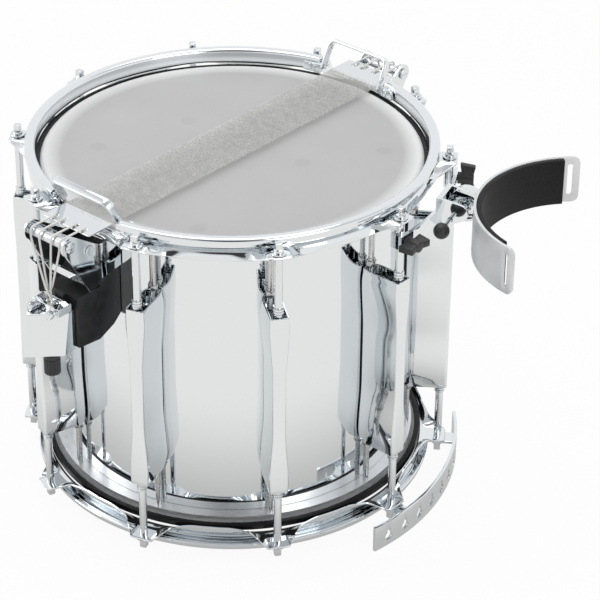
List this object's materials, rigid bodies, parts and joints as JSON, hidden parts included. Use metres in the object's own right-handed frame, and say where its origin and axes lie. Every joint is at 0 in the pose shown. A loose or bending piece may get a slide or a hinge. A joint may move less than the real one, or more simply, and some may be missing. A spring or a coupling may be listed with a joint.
{
  "type": "marching snare drum",
  "caption": "Chromed parade drum with pressed hoops, tube lugs, snare wires laced over rollers outside the head, a throw-off, a folding leg rest and a carrying rail.",
  "frame": {"origin": "middle of the batter head's playing face, which is the drum's lower face as it stands", "axes": "+Z along the drum's axis from the batter head to the snare head; -Y towards the strainer; the leg rest and the carrying rail lie 18 degrees from +X towards +Y"},
  "size_m": [0.5295, 0.5064, 0.3678],
  "materials": {
    "chrome": "mirror-polished chrome plating",
    "cast_chrome": "mirror-polished chrome plating on a light casting",
    "steel": "bright wire",
    "head_film": "hazy polyester film",
    "black_plastic": "moulded",
    "cord": "smooth synthetic cord",
    "grey_paint": "satin",
    "foam": "cellular foam"
  },
  "bodies": {
    "drum": {"shell": "chrome", "snare_edge_ring": "cast_chrome", "batter_edge_ring": "cast_chrome", "snare_head": "head_film", "batter_head": "head_film", "snare_hoop": "chrome", "batter_hoop": "chrome", "lug_0": "cast_chrome", "lug_1": "cast_chrome", "lug_2": "cast_chrome", "lug_3": "cast_chrome", "lug_4": "cast_chrome", "lug_5": "cast_chrome", "lug_6": "cast_chrome", "lug_7": "cast_chrome", "lug_8": "cast_chrome", "lug_9": "cast_chrome", "front_cord": "cord", "rear_cord": "cord", "front_guard": "chrome", "rear_guard": "chrome", "strainer_base": "black_plastic", "strainer_bracket": "chrome", "butt_bracket": "chrome", "rear_clamp": "cast_chrome", "leg_rest_mount": "chrome", "lock_spring": "steel", "carry_rail": "chrome"},
    "wires": {"snare_wires": "steel"},
    "throw_off": {"roller_frame": "chrome"},
    "front_roller_body": {"front_roller": "chrome"},
    "carriage_body": {"carriage": "cast_chrome", "cord_clamp": "cast_chrome"},
    "knob": {"strainer_knob": "black_plastic"},
    "rear_roller_body": {"rear_roller": "chrome"},
    "leg_rest": {"leg_plate": "grey_paint", "leg_pad": "foam"},
    "lock": {"lock_pin": "black_plastic"},
    "wing_left": {"wing_screw_left": "black_plastic"},
    "wing_right": {"wing_screw_right": "black_plastic"},
    "snare_tension_0": {"snare_rod_0": "chrome"},
    "batter_tension_0": {"batter_rod_0": "chrome"},
    "snare_tension_1": {"snare_rod_1": "chrome"},
    "batter_tension_1": {"batter_rod_1": "chrome"},
    "snare_tension_2": {"snare_rod_2": "chrome"},
    "batter_tension_2": {"batter_rod_2": "chrome"},
    "snare_tension_3": {"snare_rod_3": "chrome"},
    "batter_tension_3": {"batter_rod_3": "chrome"},
    "snare_tension_4": {"snare_rod_4": "chrome"},
    "batter_tension_4": {"batter_rod_4": "chrome"},
    "snare_tension_5": {"snare_rod_5": "chrome"},
    "batter_tension_5": {"batter_rod_5": "chrome"},
    "snare_tension_6": {"snare_rod_6": "chrome"},
    "batter_tension_6": {"batter_rod_6": "chrome"},
    "snare_tension_7": {"snare_rod_7": "chrome"},
    "batter_tension_7": {"batter_rod_7": "chrome"},
    "snare_tension_8": {"snare_rod_8": "chrome"},
    "batter_tension_8": {"batter_rod_8": "chrome"},
    "snare_tension_9": {"snare_rod_9": "chrome"},
    "batter_tension_9": {"batter_rod_9": "chrome"}
  },
  "joints": [
    {"name": "snare_rod_0_turn", "type": "hinge", "parent": "drum", "child": "snare_tension_0", "pos_m": [0.2016, 0, 0.2724], "axis": [0, 0, 1], "continuous": true},
    {"name": "snare_rod_1_turn", "type": "hinge", "parent": "drum", "child": "snare_tension_1", "pos_m": [0.1631, 0.1185, 0.2724], "axis": [0, 0, 1], "continuous": true},
    {"name": "snare_rod_2_turn", "type": "hinge", "parent": "drum", "child": "snare_tension_2", "pos_m": [0.0623, 0.19173, 0.2724], "axis": [0, 0, 1], "continuous": true},
    {"name": "snare_rod_3_turn", "type": "hinge", "parent": "drum", "child": "snare_tension_3", "pos_m": [-0.0623, 0.19173, 0.2724], "axis": [0, 0, 1], "continuous": true},
    {"name": "snare_rod_4_turn", "type": "hinge", "parent": "drum", "child": "snare_tension_4", "pos_m": [-0.1631, 0.1185, 0.2724], "axis": [0, 0, 1], "continuous": true},
    {"name": "snare_rod_5_turn", "type": "hinge", "parent": "drum", "child": "snare_tension_5", "pos_m": [-0.2016, 0, 0.2724], "axis": [0, 0, 1], "continuous": true},
    {"name": "snare_rod_6_turn", "type": "hinge", "parent": "drum", "child": "snare_tension_6", "pos_m": [-0.1631, -0.1185, 0.2724], "axis": [0, 0, 1], "continuous": true},
    {"name": "snare_rod_7_turn", "type": "hinge", "parent": "drum", "child": "snare_tension_7", "pos_m": [-0.0623, -0.19173, 0.2724], "axis": [0, 0, 1], "continuous": true},
    {"name": "snare_rod_8_turn", "type": "hinge", "parent": "drum", "child": "snare_tension_8", "pos_m": [0.0623, -0.19173, 0.2724], "axis": [0, 0, 1], "continuous": true},
    {"name": "snare_rod_9_turn", "type": "hinge", "parent": "drum", "child": "snare_tension_9", "pos_m": [0.1631, -0.1185, 0.2724], "axis": [0, 0, 1], "continuous": true},
    {"name": "batter_rod_0_turn", "type": "hinge", "parent": "drum", "child": "batter_tension_0", "pos_m": [0.2016, 0, 0.0324], "axis": [0, 0, 1], "continuous": true},
    {"name": "batter_rod_1_turn", "type": "hinge", "parent": "drum", "child": "batter_tension_1", "pos_m": [0.1631, 0.1185, 0.0324], "axis": [0, 0, 1], "continuous": true},
    {"name": "batter_rod_2_turn", "type": "hinge", "parent": "drum", "child": "batter_tension_2", "pos_m": [0.0623, 0.19173, 0.0324], "axis": [0, 0, 1], "continuous": true},
    {"name": "batter_rod_3_turn", "type": "hinge", "parent": "drum", "child": "batter_tension_3", "pos_m": [-0.0623, 0.19173, 0.0324], "axis": [0, 0, 1], "continuous": true},
    {"name": "batter_rod_4_turn", "type": "hinge", "parent": "drum", "child": "batter_tension_4", "pos_m": [-0.1631, 0.1185, 0.0324], "axis": [0, 0, 1], "continuous": true},
    {"name": "batter_rod_5_turn", "type": "hinge", "parent": "drum", "child": "batter_tension_5", "pos_m": [-0.2016, 0, 0.0324], "axis": [0, 0, 1], "continuous": true},
    {"name": "batter_rod_6_turn", "type": "hinge", "parent": "drum", "child": "batter_tension_6", "pos_m": [-0.1631, -0.1185, 0.0324], "axis": [0, 0, 1], "continuous": true},
    {"name": "batter_rod_7_turn", "type": "hinge", "parent": "drum", "child": "batter_tension_7", "pos_m": [-0.0623, -0.19173, 0.0324], "axis": [0, 0, 1], "continuous": true},
    {"name": "batter_rod_8_turn", "type": "hinge", "parent": "drum", "child": "batter_tension_8", "pos_m": [0.0623, -0.19173, 0.0324], "axis": [0, 0, 1], "continuous": true},
    {"name": "batter_rod_9_turn", "type": "hinge", "parent": "drum", "child": "batter_tension_9", "pos_m": [0.1631, -0.1185, 0.0324], "axis": [0, 0, 1], "continuous": true},
    {"name": "wires_tilt", "type": "hinge", "parent": "drum", "child": "wires", "pos_m": [-0.006, 0.2035, 0.3096], "axis": [1, 0, 0], "range_deg": [0, 0.39]},
    {"name": "throw_off_tilt", "type": "hinge", "parent": "drum", "child": "throw_off", "pos_m": [-0.006, -0.2048, 0.2927], "axis": [1, 0, 0], "range_deg": [0, 7], "deforming": ["front_cord"]},
    {"name": "front_roller_turn", "type": "hinge", "parent": "throw_off", "child": "front_roller_body", "pos_m": [-0.006, -0.2275, 0.3054], "axis": [1, 0, 0], "continuous": true},
    {"name": "rear_roller_turn", "type": "hinge", "parent": "drum", "child": "rear_roller_body", "pos_m": [-0.006, 0.2275, 0.3054], "axis": [1, 0, 0], "continuous": true},
    {"name": "carriage_slide", "type": "slide", "parent": "drum", "child": "carriage_body", "axis": [0, 0, 1], "range_m": [-0.003, 0.003], "deforming": ["front_cord"]},
    {"name": "knob_turn", "type": "hinge", "parent": "carriage_body", "child": "knob", "pos_m": [-0.0023, -0.2362, 0.1774], "axis": [0, 0, 1], "range_deg": [-1080, 1080]},
    {"name": "leg_rest_fold", "type": "hinge", "parent": "drum", "child": "leg_rest", "pos_m": [0.21779, 0.07076, 0.2964], "axis": [-0.309, 0.9511, 0], "range_deg": [0, 80]},
    {"name": "lock_pin_pull", "type": "slide", "parent": "drum", "child": "lock", "axis": [0.309, -0.9511, 0], "range_m": [0, 0.004], "stiffness_N_per_m": 500, "springref_m": -0.002, "deforming": ["lock_spring"]},
    {"name": "wing_left_turn", "type": "hinge", "parent": "drum", "child": "wing_left", "pos_m": [0.215, 0, 0.2874], "axis": [1, 0, 0], "continuous": true},
    {"name": "wing_right_turn", "type": "hinge", "parent": "drum", "child": "wing_right", "pos_m": [0.17394, 0.12637, 0.2874], "axis": [0.809, 0.5878, 0], "continuous": true}
  ],
  "couplings": [
    {"joint": "throw_off_tilt", "follows": "wires_tilt", "ratio": 17.94},
    {"joint": "knob_turn", "follows": "carriage_slide", "rad_per_m": 6283.2}
  ]
}
